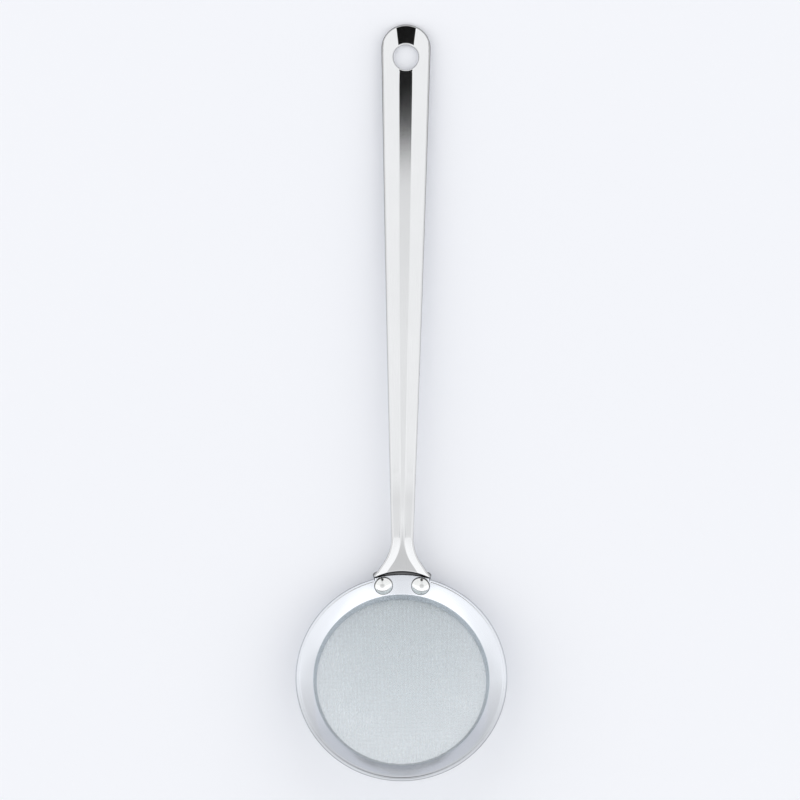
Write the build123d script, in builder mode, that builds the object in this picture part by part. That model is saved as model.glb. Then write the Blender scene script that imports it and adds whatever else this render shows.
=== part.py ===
from build123d import *

import os
from math import asin, atan2, ceil, copysign, cos, degrees, hypot, radians, sin, sqrt, tan

# A fine-mesh skimmer of stainless sheet: a shallow dish with a flat gauze bottom on a long
# pressed handle. It lies as it does on a table, on the heel of the dish and the handle's end.
# X is across, +Y runs along the handle to its end, +Z is up. All lengths are in millimetres.
# The origin is the bottom centre of the whole skimmer.

# Dish: a flange that slopes up and out from a steep wall, with a rolled edge
rim_radius = 51.0
flange_width = 8.5
wall_lean = 2.1
wall_height = 4.5
flange_angle = 38.0
rim_sheet = 0.8
rim_bend = 0.5
lip_radius = 1.5
lip_skirt = 0.3
foot_width = 3.2
dish_tilt = 19.5

# Gauze: a flat disc held by its edge
gauze_thickness = 0.5
gauze_pitch = 5.4
gauze_gap = 4.5
gauze_inset = 0.2
least_gap_share = 0.12

# Retaining ring, closed round the foot and the gauze
ring_sheet = 0.5
ring_clearance = 0.15
ring_lower_reach = 2.5
ring_upper_reach = 1.2

# Handle: a tapered trough of one thickness, round at its end
handle_length = 266.7
handle_sheet = 1.5
handle_bend = 1.0
handle_edge_round = 0.6
end_radius = 12.0
waist_half_width = 5.4
floor_half_width = 3.5
end_floor_half_width = 5.1
end_spread = 14.0
waist_floor_half_width = 0.86
side_bow = 0.25
end_flank_angle = 22.0
waist_flank_angle = 36.0
bracket_flank_angle = 17.0
bracket_length = 16.7
bracket_flare_radius = 23.0
bracket_flare_angle = 34.0
arch_radius = 220.0
arch_angle = 10.0
hole_radius = 6.05
hole_inset = 16.1

# Bracket: the tab under the flange and the step up to the handle
tab_angle = 32.0
tab_inset = 1.9
tab_corner = 3.0
seat_margin_angle = 0.6
groove_width = 1.86
groove_radius = 31.0
step_height = 1.4
step_wall = 1.8

# Rivets, square to the flange
rivet_inset = 4.3
rivet_pitch = 18.0
rivet_head_radius = 4.55
rivet_head_height = 2.0
rivet_head_edge = 0.4
rivet_shank_radius = 2.0
rivet_tail_radius = 3.0
rivet_tail_height = 1.1
rivet_tail_bevel = 0.4
rivet_clearance = 0.05

# Gap left between faces that touch
contact_gap = 0.03

# About how far one flat of a bend turns: sheet bends are made of flats, to keep facets few
flat_turn = 50.0
dome_flats = 3

# One overrun for all cuts, and the stations that the trough is lofted through
overrun = 1.0
bracket_overrun = 5.0
blade_stations = 6
arch_stations = 4
flare_stations = 7


def sheet_corners(line, sheet, radii):
    """Corners of bent sheet with their radii: line is one face's path, and the sheet lies to its right.
    radii holds the bend radius on the line's side at each inner corner; ends are square."""
    steps = [(b[0] - a[0], b[1] - a[1]) for a, b in zip(line, line[1:])]
    ways = [(dx / hypot(dx, dy), dy / hypot(dx, dy)) for dx, dy in steps]
    sides = [(dy, -dx) for dx, dy in ways]
    back = [(line[0][0] + sheet * sides[0][0], line[0][1] + sheet * sides[0][1])]
    back_radii = []
    for i, radius in enumerate(radii):
        a, b = sides[i], sides[i + 1]
        reach = sheet / (1 + a[0] * b[0] + a[1] * b[1])
        corner = line[i + 1]
        back.append((corner[0] + reach * (a[0] + b[0]), corner[1] + reach * (a[1] + b[1])))
        turns_left = ways[i][0] * ways[i + 1][1] - ways[i][1] * ways[i + 1][0] > 0
        back_radii.append(radius + sheet if turns_left else radius - sheet)
    back.append((line[-1][0] + sheet * sides[-1][0], line[-1][1] + sheet * sides[-1][1]))
    return line + back[::-1], [0, *radii, 0, 0, *back_radii[::-1], 0]


def flatted(corners, radii):
    """Closed outline through the corners, each rounded to its radius by flats that turn alike."""
    spots = [Vector(*corner) for corner in corners]
    outline = []
    for i, (spot, radius) in enumerate(zip(spots, radii)):
        arrive = (spot - spots[i - 1]).normalized()
        leave = (spots[(i + 1) % len(spots)] - spot).normalized()
        turn = arrive.get_signed_angle(leave, Axis.Z.direction)
        flats = max(round(abs(turn) / flat_turn), 1) if radius else 0
        middle = spot - arrive * radius * tan(radians(abs(turn)) / 2)
        middle += arrive.rotate(Axis.Z, copysign(90, turn)) * radius
        for step in range(flats + 1):
            swing = turn * step / max(flats, 1) - copysign(90, turn)
            outline.append(middle + arrive.rotate(Axis.Z, swing) * radius)
    return [(point.X, point.Y) for point in outline]


# Dish section, as radius from the dish's axis and height above its foot
slope = tan(radians(flange_angle))
break_radius = rim_radius - flange_width
foot_radius = break_radius - wall_lean
foot_outer = foot_radius + foot_width
foot_z = ring_sheet + gauze_thickness
break_z = foot_z + wall_height
corner_z = break_z + flange_width * slope
skirt_z = corner_z - lip_radius / tan(radians(90 - flange_angle) / 2) - lip_skirt
seat_edge = rim_radius - rim_sheet * sin(radians(flange_angle))
seat_edge_z = break_z + (seat_edge - break_radius) * slope
inner_line = [(foot_outer, foot_z), (foot_radius, foot_z), (break_radius, break_z)]
inner_radii = [rim_sheet, rim_bend + rim_sheet]
rolled_line = inner_line + [(rim_radius, corner_z), (rim_radius, skirt_z)]
rolled_outline = flatted(*sheet_corners(rolled_line, rim_sheet, inner_radii + [lip_radius]))
seat_line = inner_line + [(seat_edge, seat_edge_z)]
seat_outline = flatted(*sheet_corners(seat_line, rim_sheet, inner_radii))

# Ring section, in the same measures: a C that opens inwards
ring_outer = foot_outer + ring_clearance + ring_sheet
ring_top = foot_z + rim_sheet + ring_sheet
ring_lower = foot_outer - ring_lower_reach
ring_upper = foot_outer - ring_upper_reach
ring_line = [(ring_upper, ring_top), (ring_outer, ring_top), (ring_outer, 0), (ring_lower, 0)]
ring_outline = flatted(*sheet_corners(ring_line, ring_sheet, [ring_sheet, ring_sheet]))


def flange_z(radius):
    """Height of the flange's upper face above the foot, at a radius."""
    return break_z + (radius - break_radius) * slope


# Where the dish lies: its heel on the table, and the whole skimmer centred on the origin
tilt = radians(dish_tilt)
dish_z = max(radius * sin(tilt) - height * cos(tilt) for radius, height in ring_outline)
far_reach = max(radius * cos(tilt) - height * sin(tilt) for radius, height in rolled_outline)
near_reach = seat_edge * cos(tilt) + seat_edge_z * sin(tilt)
dish_y = (far_reach - near_reach - groove_width - handle_length) / 2
dish = Plane(origin=(0, dish_y, dish_z), x_dir=(1, 0, 0), z_dir=(0, sin(tilt), cos(tilt)))
dish_axis = Axis(dish.origin, dish.z_dir)


def dish_section(angle):
    """Plane of the dish's section at an angle from the handle, seen along the rim."""
    swing = radians(angle)
    outward = dish.y_dir * cos(swing) - dish.x_dir * sin(swing)
    return Plane(origin=dish.origin, x_dir=outward, z_dir=outward.cross(dish.z_dir))


# Handle's side line, under the floor: an arch from the step, then straight down to the end
step_y = dish_y + near_reach + groove_width
end_y = step_y + handle_length
seat_edge_up = dish_z - seat_edge * sin(tilt) + seat_edge_z * cos(tilt)
step_z = seat_edge_up + step_height - handle_sheet
arch_start = radians(arch_angle)
arch_y = step_y + arch_radius * sin(arch_start)
arch_z = step_z - arch_radius * cos(arch_start)
end_distance = hypot(end_y - arch_y, arch_z)
arch_end = atan2(-arch_z, end_y - arch_y) - asin(arch_radius / end_distance)
arch_run = arch_radius * (arch_start - arch_end)
straight_run = sqrt(end_distance**2 - arch_radius**2)
whole_run = arch_run + straight_run


def line_plane(run):
    """Plane across the handle at a run from the step along its side line; local up is up."""
    if run < arch_run:
        lean = arch_start - run / arch_radius
        y = arch_y - arch_radius * sin(lean)
        z = arch_z + arch_radius * cos(lean)
    else:
        lean = arch_end
        y = arch_y - arch_radius * sin(lean) + (run - arch_run) * cos(lean)
        z = arch_z + arch_radius * cos(lean) + (run - arch_run) * sin(lean)
    return Plane(origin=(0, y, z), x_dir=(-1, 0, 0), z_dir=(0, cos(lean), sin(lean)))


def flare(run):
    """How far each side of the bracket has swung out, at a run measured back from the waist."""
    turned = bracket_flare_radius * sin(radians(bracket_flare_angle))
    if run < turned:
        return bracket_flare_radius - sqrt(bracket_flare_radius**2 - run**2)
    swung = bracket_flare_radius * (1 - cos(radians(bracket_flare_angle)))
    return swung + (run - turned) * tan(radians(bracket_flare_angle))


def trough_section(run):
    """Section of the handle's sheet at a run from the step: flat floor, sloping flanks."""
    along = (run - bracket_length) / (whole_run - end_radius - bracket_length)
    spread = max(run - whole_run + end_spread, 0) / end_spread
    if along >= 0:
        bow = side_bow * 4 * along * (1 - along)
        half = waist_half_width + (end_radius - waist_half_width) * along + bow
        inner = waist_floor_half_width + (floor_half_width - waist_floor_half_width) * along + bow
        inner += (end_floor_half_width - floor_half_width) * spread
        angle = waist_flank_angle + (end_flank_angle - waist_flank_angle) * along
    else:
        back = bracket_length - run
        half = waist_half_width + flare(back)
        inner = waist_floor_half_width + flare(back)
        angle = waist_flank_angle + (bracket_flank_angle - waist_flank_angle) * min(back / bracket_length, 1)
    flank = radians(angle)
    top = half - handle_sheet * sin(flank)
    rise = handle_sheet + (top - inner) * tan(flank)
    line = [(-top, rise), (-inner, handle_sheet), (inner, handle_sheet), (top, rise)]
    corners, radii = sheet_corners(line, handle_sheet, [handle_bend, handle_bend])
    outline = flatted(corners, [radius or handle_edge_round for radius in radii])
    with BuildSketch(line_plane(run)) as section:
        with BuildLine():
            Polyline(*outline, close=True)
        make_face()
    return section.sketch


def spread_runs(first, last, count):
    """Evenly spaced runs along the handle, both ends included."""
    return [first + (last - first) * i / (count - 1) for i in range(count)]


def rivet_plane(side):
    """Plane of a rivet on the flange's upper face; side is 1 on the right and -1 on the left."""
    swing = -side * degrees(asin(rivet_pitch / 2 / rivet_reach))
    section = dish_section(swing)
    spot = section.from_local_coords((rivet_reach, flange_z(rivet_reach)))
    inward = section.x_dir * -sin(radians(flange_angle)) + dish.z_dir * cos(radians(flange_angle))
    return Plane(origin=spot, x_dir=section.z_dir, z_dir=inward)


rivet_reach = break_radius + rivet_inset
rivet_planes = {"rivet_left": rivet_plane(-1), "rivet_right": rivet_plane(1)}
rivet_depth = rim_sheet + contact_gap + handle_sheet


# Rim frame: rolled edge all round but for the plain stretch over the tab
seat_angle = tab_angle + 2 * seat_margin_angle

with BuildPart() as rim_frame:
    with BuildSketch(dish_section(seat_angle / 2)):
        with BuildLine():
            Polyline(*rolled_outline, close=True)
        make_face()
    revolve(axis=dish_axis, revolution_arc=360 - seat_angle)
    with BuildSketch(dish_section(-seat_angle / 2)):
        with BuildLine():
            Polyline(*seat_outline, close=True)
        make_face()
    revolve(axis=dish_axis, revolution_arc=seat_angle)
    for plane in rivet_planes.values():
        with BuildSketch(plane):
            Circle(rivet_shank_radius + rivet_clearance)
        extrude(amount=rivet_depth, both=True, mode=Mode.SUBTRACT)

# Retaining ring
with BuildPart() as retaining_ring:
    with BuildSketch(dish_section(0)):
        with BuildLine():
            Polyline(*ring_outline, close=True)
        make_face()
    revolve(axis=dish_axis)

# Gauze: one flat face with its gaps, closed in by a plain margin under the foot
gap_count = 2 * ceil(ring_lower / gauze_pitch) - 1
least_gap = least_gap_share * gauze_gap**2

with BuildPart() as mesh_screen:
    with BuildSketch(dish.offset(ring_sheet)) as gauze:
        Circle(foot_outer - gauze_inset)
        with BuildSketch(mode=Mode.PRIVATE) as gaps:
            with GridLocations(gauze_pitch, gauze_pitch, gap_count, gap_count):
                Rectangle(gauze_gap, gauze_gap)
            Circle(ring_lower, mode=Mode.INTERSECT)
        add([gap for gap in gaps.faces() if gap.area > least_gap], mode=Mode.SUBTRACT)
    extrude(amount=gauze_thickness)

# Trough: the handle's sheet from its bracket to its end, trimmed to a round end
end_run = whole_run - end_spread
groove_centre = (0, step_y - groove_radius)
clear_height = dish_z + rim_radius
step_half_width = waist_half_width + flare(bracket_length)
step_floor_half = waist_floor_half_width + flare(bracket_length)
step_middle = step_z + handle_sheet / 2
step_edge = step_middle + (step_half_width - step_floor_half) * tan(radians(bracket_flank_angle))
step_points = [(-step_half_width, step_z), (-step_half_width, step_edge), (-step_floor_half, step_middle)]
step_points += [(-x, z) for x, z in step_points[::-1]]

with BuildPart() as trough:
    with BuildSketch(Plane.XZ.offset(-step_y - step_wall)):
        with BuildLine():
            Polyline(*step_points, close=True)
        make_face()
    extrude(amount=bracket_overrun)
    with BuildSketch():
        with Locations(groove_centre):
            Circle(groove_radius + step_wall)
    extrude(amount=clear_height, both=True, mode=Mode.INTERSECT)
    for run in spread_runs(end_run, whole_run + overrun, 2):
        add(trough_section(run))
    loft(ruled=True)
    for run in spread_runs(arch_run, end_run, blade_stations):
        add(trough_section(run))
    loft()
    for run in spread_runs(bracket_length, arch_run, arch_stations):
        add(trough_section(run))
    loft()
    for run in spread_runs(-bracket_overrun, bracket_length, flare_stations):
        add(trough_section(run))
    loft()
    with BuildSketch():
        with Locations(groove_centre):
            Circle(groove_radius)
    extrude(amount=clear_height, both=True, mode=Mode.SUBTRACT)
    with BuildSketch():
        with Locations((0, end_y - end_radius)):
            Rectangle(2 * handle_length, handle_length, align=(Align.CENTER, Align.MIN))
            Circle(end_radius, mode=Mode.SUBTRACT)
    extrude(amount=clear_height, both=True, mode=Mode.SUBTRACT)
    with BuildSketch():
        with Locations((0, end_y - hole_inset)):
            Circle(hole_radius)
    extrude(amount=clear_height, both=True, mode=Mode.SUBTRACT)

# Handle: the curved tab under the flange, the step, and the trough
tab_inner = break_radius + tab_inset
tab_outer = seat_edge + groove_width + step_wall + overrun
tab_drop = (rim_sheet + contact_gap) / cos(radians(flange_angle))
tab_line = [(tab_inner, flange_z(tab_inner) - tab_drop), (tab_outer, flange_z(tab_outer) - tab_drop)]

with BuildPart() as handle:
    with BuildSketch(dish_section(tab_angle / 2)):
        corners, radii = sheet_corners(tab_line, handle_sheet, [])
        with BuildLine():
            Polyline(*corners, close=True)
        make_face()
    revolve(axis=dish_axis, revolution_arc=-tab_angle)
    inner_wall = handle.faces().sort_by_distance(dish.origin)[0]
    fillet(inner_wall.edges().filter_by(GeomType.LINE), tab_corner)
    with BuildSketch():
        with Locations(groove_centre):
            Circle(groove_radius + step_wall)
    extrude(amount=clear_height, both=True, mode=Mode.INTERSECT)
    add(trough.part)
    for plane in rivet_planes.values():
        with BuildSketch(plane):
            Circle(rivet_shank_radius + rivet_clearance)
        extrude(amount=rivet_depth + overrun, both=True, mode=Mode.SUBTRACT)

# Rivets, turned: a domed head with an upright edge, a shank and a bevelled tail
head_lift = rivet_head_radius**2 * sin(radians(flange_angle)) / (2 * rivet_reach) + contact_gap
head_top = head_lift + rivet_head_height
tail_start = -rivet_depth
tail_end = tail_start - rivet_tail_height
dome_rise = rivet_head_height - rivet_head_edge
dome_radius = (rivet_head_radius**2 + dome_rise**2) / (2 * dome_rise)
dome_swings = [asin(rivet_head_radius / dome_radius) * i / dome_flats for i in range(dome_flats + 1)]
rivet_outline = [(dome_radius * sin(a), head_top - dome_radius * (1 - cos(a))) for a in dome_swings]
rivet_outline += [(rivet_head_radius, head_lift), (rivet_shank_radius, head_lift)]
rivet_outline += [(rivet_shank_radius, tail_start), (rivet_tail_radius, tail_start)]
rivet_outline += [(rivet_tail_radius, tail_end + rivet_tail_bevel), (rivet_tail_radius - rivet_tail_bevel, tail_end)]
rivet_outline += [(0, tail_end)]
rivets = {}
for node, plane in rivet_planes.items():
    with BuildPart() as rivet:
        with BuildSketch(Plane(origin=plane.origin, x_dir=plane.x_dir, z_dir=-plane.y_dir)):
            with BuildLine():
                Polyline(*rivet_outline, close=True)
            make_face()
        revolve(axis=Axis(plane.origin, plane.z_dir))
    rivets[node] = rivet

# Write out the parts, each under its own name
os.makedirs("parts", exist_ok=True)
makers = {"handle": handle, "rim_frame": rim_frame, "mesh_screen": mesh_screen, "retaining_ring": retaining_ring}
makers.update(rivets)
for node, maker in makers.items():
    maker.part.label = node
    export_step(maker.part, "parts/" + node + ".step")
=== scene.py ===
from math import acos, asin, atan2, cos, hypot, pi, radians, sin, sqrt, tan

import bmesh
import bpy
from mathutils import Matrix, Vector


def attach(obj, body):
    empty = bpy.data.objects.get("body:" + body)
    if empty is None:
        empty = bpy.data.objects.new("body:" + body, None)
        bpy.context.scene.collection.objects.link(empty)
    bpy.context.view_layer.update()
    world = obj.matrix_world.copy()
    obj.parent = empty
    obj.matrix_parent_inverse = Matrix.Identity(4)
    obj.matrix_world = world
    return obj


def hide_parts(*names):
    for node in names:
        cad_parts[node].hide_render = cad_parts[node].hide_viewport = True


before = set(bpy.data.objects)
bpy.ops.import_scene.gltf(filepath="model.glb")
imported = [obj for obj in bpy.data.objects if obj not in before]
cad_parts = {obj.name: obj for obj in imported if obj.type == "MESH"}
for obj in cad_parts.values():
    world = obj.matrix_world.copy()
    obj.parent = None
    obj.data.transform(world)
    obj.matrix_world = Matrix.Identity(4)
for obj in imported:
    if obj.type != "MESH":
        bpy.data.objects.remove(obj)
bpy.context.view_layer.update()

# All shape values are in millimetres; MM turns them into metres when a mesh is made
MM = 0.001

# Meshes: points and edges closer than these, in metres, are merged or taken out
MERGE_DISTANCE = 2e-6
THINNEST_FACE = 1e-7

# Bends of sheet: the least turn that counts as one, the least radius and the points of each
STRAIGHT_TURN = 1e-4
SMALLEST_BEND = 0.05
BEND_STEPS = 7
EDGE_STEPS = 6

# Dish
RIM_RADIUS = 51.0
FLANGE_WIDTH = 8.5
WALL_LEAN = 2.1
BREAK_RADIUS = RIM_RADIUS - FLANGE_WIDTH
FOOT_RADIUS = BREAK_RADIUS - WALL_LEAN
WALL_HEIGHT = 4.5
FLANGE_ANGLE = radians(38)
RIM_SHEET = 0.8
RIM_BEND = 0.5
FOOT_BEND = 0.2
LIP_RADIUS = 1.5
LIP_SKIRT = 0.3
RIM_EDGE_ROUND = 0.25
FOOT_WIDTH = 3.2
TILT = radians(19.5)
RING_SHEET = 0.5
RING_BEND = 0.15
RING_CLEARANCE = 0.15
RING_LOWER_REACH = 2.5
RING_UPPER_REACH = 1.2
RING_EDGE_ROUND = 0.2
CONTACT_GAP = 0.03
SEAT_STEPS = 40
UNROLL_STEPS = 12
RIM_STEPS = 360

# Woven gauze
GAUZE_THICKNESS = 0.5
WIRE_PITCH = 0.65
WIRE_RADIUS = 0.12
GAUZE_INSET = 0.35
WIRE_SIDES = 6

# Handle
HANDLE_LENGTH = 266.7
SHEET = 1.5
HANDLE_BEND = 1.4
END_RADIUS = 12.0
WAIST_HALF = 5.4
FLOOR_HALF = 3.5
END_FLOOR_HALF = 5.1
END_SPREAD = 14.0
WAIST_FLOOR_HALF = 0.86
SIDE_BOW = 0.25
END_FLANK = radians(22)
WAIST_FLANK = radians(36)
BRACKET_FLANK = radians(17)
BRACKET_LENGTH = 16.7
FLARE_RADIUS = 23.0
FLARE_ANGLE = radians(34)
ARCH_RADIUS = 220.0
ARCH_ANGLE = radians(10)
HOLE_RADIUS = 6.05
HOLE_INSET = 16.1
GROOVE_WIDTH = 1.86
GROOVE_RADIUS = 31.0
STEP_HEIGHT = 1.4
STEP_WALL = 1.8
STEP_ROUND = 0.3
TAB_INSET = 1.9
TAB_HALF_ANGLE = radians(14.8)
SEAT_HALF_ANGLE = radians(15.1)
UNROLL_ANGLE = radians(0.6)
LEAST_FLOOR_HALF = 0.15

# Rows and columns of the handle's mesh
FLOOR_COLUMNS = 8
BEND_COLUMNS = 8
FLANK_COLUMNS = 12
TAB_STEPS = 12
FLARE_STEPS = 22
BLADE_STEPS = 130
EVEN_STEPS = 20
EVEN_RUN = 8.0
COLLAR_ROWS = 90
COLLAR_RINGS = 5
COLLAR_WIDTH = 0.7

# How often a place on the handle is refined, and how much of each correction the tab takes
TROUGH_TRIES = 4
EDGE_TRIES = 12
FLARE_TRIES = 6
TAB_TRIES = 12
TAB_SETTLE = 0.7

# Rows of the step: how far out each lies, whether it follows the bracket, and its drop
STEP_FOOT = 0.25
STEP_MARKS = [(-STEP_FOOT, 0, 0), (-0.07, 0, 0.07), (0, 0, 0.25)]
STEP_MARKS += [(0, 1, -1.0), (0.09, 1, -0.3), (STEP_ROUND, 1, 0)]

# Rivets
RIVET_REACH = 46.8
RIVET_PITCH = 18.0
RIVET_HEAD_RADIUS = 4.55
RIVET_HEAD_HEIGHT = 2.0
RIVET_HEAD_EDGE = 0.4
RIVET_SHANK_RADIUS = 2.0
RIVET_TAIL_RADIUS = 3.0
RIVET_TAIL_HEIGHT = 1.1
RIVET_TAIL_ROUND = 0.5
RIVET_RIM_ROUND = 0.08
RIVET_BEND_STEPS = 4
RIVET_DOME_STEPS = 18
RIVET_SIDES = 72

# Painted shade in the steel's colour: how far each reaches, and how strong it is, from 0 for bare steel to 1
# for the colour of full painted shade
# Painted shadow in the groove where the handle's step meets the rim
GROOVE_LIP = 0.2
GROOVE_FACING = -0.2
GROOVE_BLACK_DEPTH = 0.5
GROOVE_SHADE_DEPTH = 3.4
# Painted dark line along the handle's cut edges, weakest at the bracket and strongest at the end, and painted
# shade on the bracket's flanks
CUT_SHADE_BRACKET = 0.4
CUT_SHADE_END = 1.15
BRACKET_SHADE = 0.14
BRACKET_FACING = 0.3
BRACKET_FADE = 14.0
# Painted shade on the rim's rolled edge, round the handle's hole, on the dish's wall and foot, and over the
# dish's far side
EDGE_SHADE_LEAN = 0.8
EDGE_SHADE = 0.95
HOLE_SHADE = 0.5
WALL_SHADE = 0.22
FOOT_SHADE = 0.6
FAR_SHADE = 0.31
FAR_RISE = 0.6
# Painted contact shadow round the edge of each rivet's head
RIVET_PAINTED_SHADOW_WIDTH = 0.4
RIVET_PAINTED_SHADOW = 0.85
# Colour of full painted shade, near black
PAINTED_SHADE_COLOUR = (0.008, 0.009, 0.01)

# Finishes: colour, roughness, way of the brush lines, how fine they are, and how strong their relief is
RIM_FINISH = ((0.855, 0.885, 0.94), 0.16, "round", 2600.0, 0.25)
RING_FINISH = ((0.8, 0.81, 0.82), 0.28, "round", 2600.0, 0.25)
HANDLE_FINISH = ((0.86, 0.87, 0.885), 0.05, "along", 2600.0, 0.2)
RIVET_FINISH = ((0.86, 0.87, 0.87), 0.12, "along", 900.0, 0.1)
WIRE_FINISH = ((0.84, 0.9, 0.92), 0.25, "along", 1200.0, 0.1)

# All steel: its patterns, and how far they vary its roughness and its colour
BRUSH_LENGTH = 90
BRUSH_DETAIL = 4.0
BRUSH_ROUGHNESS = 0.65
PATCH_SCALE = 55.0
PATCH_DETAIL = 3.0
PATCH_SHARE = 0.4
SCRATCH_SCALE = 1900.0
SCRATCH_DETAIL = 2.0
SCRATCH_SHARE = 0.25
RELIEF_DEPTH = 0.00002
SHEEN_LOW = 0.3
SHEEN_HIGH = 0.7
ROUGH_LEAST = 0.8
ROUGH_MOST = 1.25
TINT_LEAST = 0.965
TINT_MOST = 1.02

# Table
TABLE_HALF = 4
TABLE_ROUGHNESS = 0.7
TABLE_SPECULAR = 0.2
TABLE_CLOUDS = 3.0
TABLE_CLOUD_DETAIL = 2.0
TABLE_SHADES = ((0.91, 0.927, 0.975), (0.93, 0.944, 0.985))

# Camera, above the middle of the photograph
CAMERA_HEIGHT = 1600.0
CAMERA_X = -1.66
CAMERA_Y = -0.84
CAMERA_ROLL = radians(0.42)
FRAME_WIDTH = 391.2
SENSOR_WIDTH = 36
CLIP_END = 20

# Studio: brightness of its screens by their lean from overhead, in degrees towards the handle's end
SCREEN_LEVELS = [(-90, 1.28), (-36, 1.28), (-25, 1.04), (-14, 1.03), (-5, 1.0)]
SCREEN_LEVELS += [(7.5, 1.0), (9.4, 0.93), (12.5, 0.97), (20, 0.98), (90, 1.0)]
SIDE_LEVEL = 0.85
SIDE_TOP = radians(24)

# Soft zones of the studio: lean in degrees, share to the side, inner and outer angle in degrees, and level
DARK_GAP = (21, -0.02, 9.8, 11.08, 0.006)
SEAT_ZONE = (-29, 0, 10, 22, 0.64)
FLOOR_ZONE = (2, 0, 6, 13, 0.88)

# Dish section, as radius and height above its foot
SLOPE = tan(FLANGE_ANGLE)
FOOT_Z = RING_SHEET + GAUZE_THICKNESS
BREAK_Z = FOOT_Z + WALL_HEIGHT
FOOT_OUTER = FOOT_RADIUS + FOOT_WIDTH
CORNER_Z = BREAK_Z + (RIM_RADIUS - BREAK_RADIUS) * SLOPE
LIP_TANGENT = LIP_RADIUS / tan(pi / 4 - FLANGE_ANGLE / 2)
SEAT_EDGE = RIM_RADIUS - RIM_SHEET * sin(FLANGE_ANGLE)
RING_OUTER = FOOT_OUTER + RING_CLEARANCE + RING_SHEET
RING_ROUND = RING_BEND + RING_SHEET


def flange_z(radius):
    """Height of the flange's upper face at a radius of the dish."""
    return BREAK_Z + (radius - BREAK_RADIUS) * SLOPE


DISH_Z = (RING_OUTER - RING_SHEET) * sin(TILT)
FAR_REACH = RIM_RADIUS * cos(TILT) - (CORNER_Z - LIP_TANGENT - LIP_SKIRT) * sin(TILT)
NEAR_REACH = SEAT_EDGE * cos(TILT) + flange_z(SEAT_EDGE) * sin(TILT)
DISH_Y = (FAR_REACH - NEAR_REACH - GROOVE_WIDTH - HANDLE_LENGTH) / 2
DISH = Matrix.Translation((0, DISH_Y, DISH_Z)) @ Matrix.Rotation(-TILT, 4, "X")

# Handle's side line, under its floor
STEP_Y = DISH_Y + NEAR_REACH + GROOVE_WIDTH
END_Y = STEP_Y + HANDLE_LENGTH
STEP_Z = DISH_Z - SEAT_EDGE * sin(TILT) + flange_z(SEAT_EDGE) * cos(TILT) + STEP_HEIGHT - SHEET
ARCH_Y = STEP_Y + ARCH_RADIUS * sin(ARCH_ANGLE)
ARCH_Z = STEP_Z - ARCH_RADIUS * cos(ARCH_ANGLE)
END_DISTANCE = hypot(END_Y - ARCH_Y, ARCH_Z)
ARCH_END = atan2(-ARCH_Z, END_Y - ARCH_Y) - asin(ARCH_RADIUS / END_DISTANCE)
ARCH_RUN = ARCH_RADIUS * (ARCH_ANGLE - ARCH_END)
WHOLE_RUN = ARCH_RUN + sqrt(END_DISTANCE**2 - ARCH_RADIUS**2)
GROOVE_Y = STEP_Y - GROOVE_RADIUS

# Handle's round end and its hole
HOLE_Y = END_Y - HOLE_INSET
HOLE_EDGE = HOLE_RADIUS + SHEET / 2
HOLE_COLLAR = HOLE_EDGE + COLLAR_WIDTH
ROUND_Y = END_Y - END_RADIUS


# Meshes
def mesh_object(name, verts, faces, matrix=None):
    """Closed smooth mesh of points in millimetres, with its place in its mesh."""
    mesh = bpy.data.meshes.new(name)
    mesh.from_pydata([Vector(v) * MM for v in verts], [], faces)
    work = bmesh.new()
    work.from_mesh(mesh)
    bmesh.ops.remove_doubles(work, verts=work.verts, dist=MERGE_DISTANCE)
    bmesh.ops.dissolve_degenerate(work, edges=work.edges, dist=THINNEST_FACE)
    bmesh.ops.recalc_face_normals(work, faces=work.faces)
    for face in work.faces:
        face.smooth = True
    work.to_mesh(mesh)
    work.free()
    if matrix:
        mesh.transform(Matrix.Translation(matrix.translation * MM) @ matrix.to_3x3().to_4x4())
    piece = bpy.data.objects.new(name, mesh)
    bpy.context.scene.collection.objects.link(piece)
    return piece


def rounded(corners, radii, steps=BEND_STEPS):
    """Points of a line through corners, each rounded by its own radius."""
    points = []
    count = len(corners)
    for i, (x, y) in enumerate(corners):
        before = Vector(corners[i - 1]) - Vector((x, y))
        after = Vector(corners[(i + 1) % count]) - Vector((x, y))
        before.normalize()
        after.normalize()
        turn = pi - acos(max(-1, min(1, before.dot(after))))
        if radii[i] == 0 or turn < STRAIGHT_TURN:
            points += [(x, y)] * (1 if radii[i] == 0 else steps + 1)
            continue
        reach = radii[i] * tan(turn / 2)
        middle = Vector((x, y)) + (before + after).normalized() * radii[i] / cos(turn / 2)
        start = Vector((x, y)) + before * reach - middle
        side = 1 if start.cross(Vector((x, y)) + after * reach - middle) > 0 else -1
        for j in range(steps + 1):
            angle = side * turn * j / steps
            across = start.x * cos(angle) - start.y * sin(angle)
            up = start.x * sin(angle) + start.y * cos(angle)
            points.append(tuple(middle + Vector((across, up))))
    return points


def sheet_outline(line, sheet, radii, end_round):
    """Closed outline of bent sheet: line is one face's path, and the sheet lies to its right."""
    ways = [(Vector(b) - Vector(a)).normalized() for a, b in zip(line, line[1:])]
    sides = [Vector((way.y, -way.x)) for way in ways]
    back = [Vector(line[0]) + sheet * sides[0]]
    back_radii = []
    for i, radius in enumerate(radii):
        both = sides[i] + sides[i + 1]
        back.append(Vector(line[i + 1]) + both * sheet / (1 + sides[i].dot(sides[i + 1])))
        bend_way = ways[i].cross(ways[i + 1])
        back_radii.append(radius + sheet if bend_way > 0 else max(radius - sheet, SMALLEST_BEND))
    back.append(Vector(line[-1]) + sheet * sides[-1])
    corners = [tuple(p) for p in line] + [tuple(p) for p in back[::-1]]
    return rounded(corners, [end_round, *radii, end_round, end_round, *back_radii[::-1], end_round])


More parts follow.
